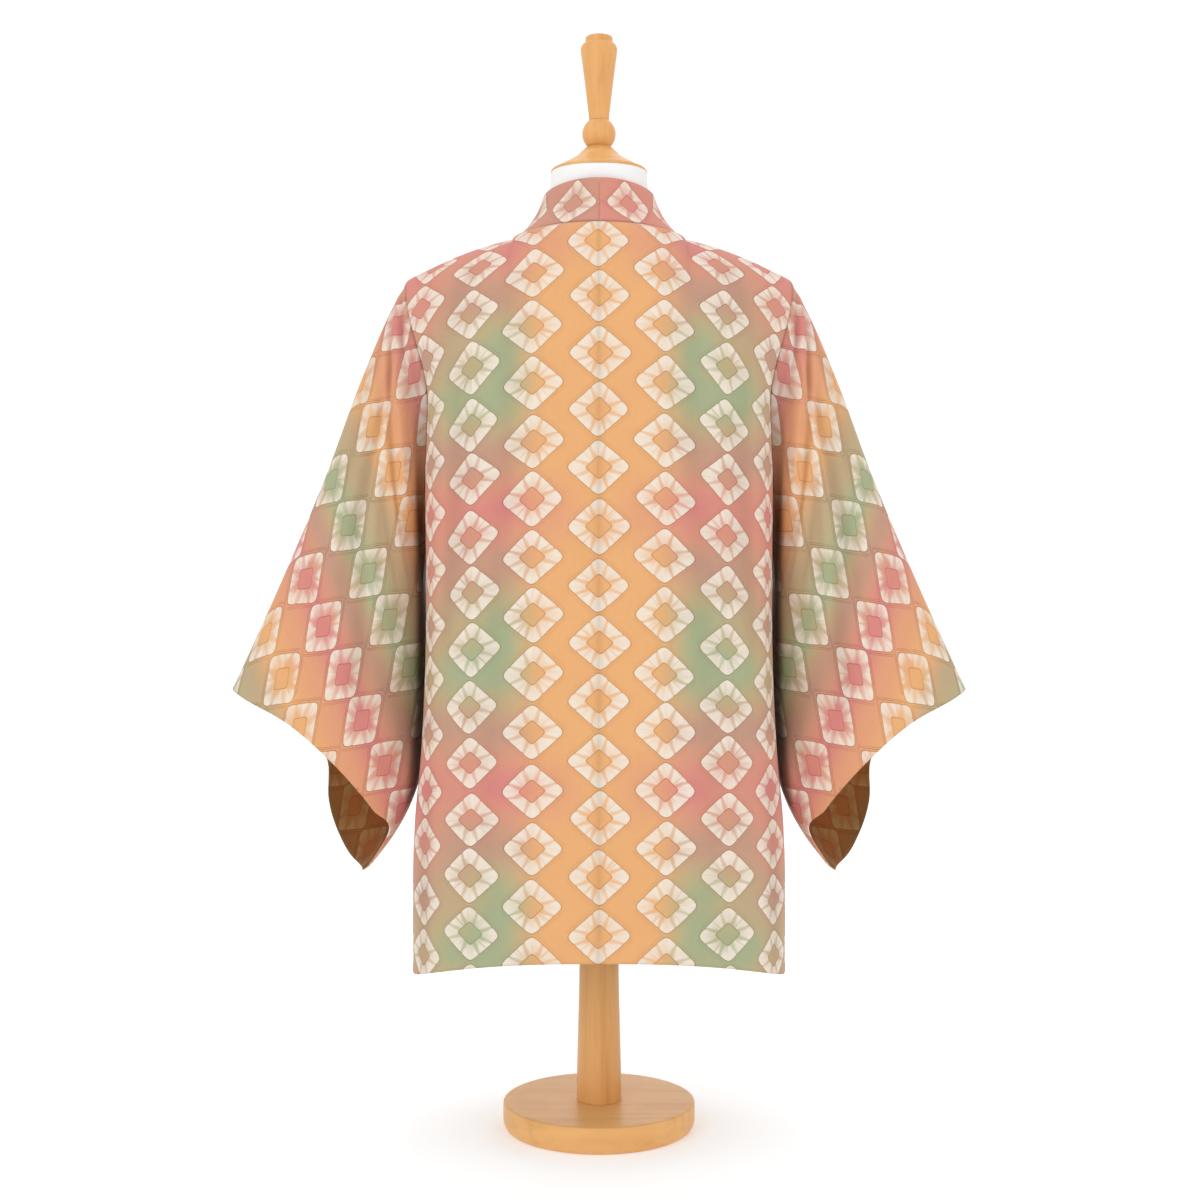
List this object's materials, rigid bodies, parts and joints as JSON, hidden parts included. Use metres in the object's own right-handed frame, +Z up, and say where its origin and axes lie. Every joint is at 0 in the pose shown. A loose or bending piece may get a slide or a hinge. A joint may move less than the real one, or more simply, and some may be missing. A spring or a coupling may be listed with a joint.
{
  "type": "haori jacket on a dress form",
  "caption": "Hip-length open-front haori jacket with wide sleeves and a band collar, on a limbless dress form with a turned wood stand.",
  "frame": {"origin": "centre of the stand base's underside, on the axis of its pole", "axes": "+Z up along the pole; -Y towards the back of the jacket; +Y towards its open front; +X towards the wearer's right"},
  "size_m": [0.78, 0.2528, 1.154],
  "materials": {
    "patterned_cloth": "soft matt tie-dyed silk crepe with large cream rings on orange, pink and green",
    "form_cover": "matt white cotton cover",
    "light_wood": "satin clear lacquer"
  },
  "bodies": {
    "root": {"body_left": "patterned_cloth", "body_right": "patterned_cloth", "gusset_left": "patterned_cloth", "gusset_right": "patterned_cloth", "sleeve_left": "patterned_cloth", "sleeve_right": "patterned_cloth", "collar_left": "patterned_cloth", "collar_right": "patterned_cloth", "dress_form": "form_cover", "stand_base": "light_wood", "stand_pole": "light_wood", "neck_cap": "light_wood", "finial_ball": "light_wood", "finial_handle": "light_wood"}
  },
  "joints": []
}
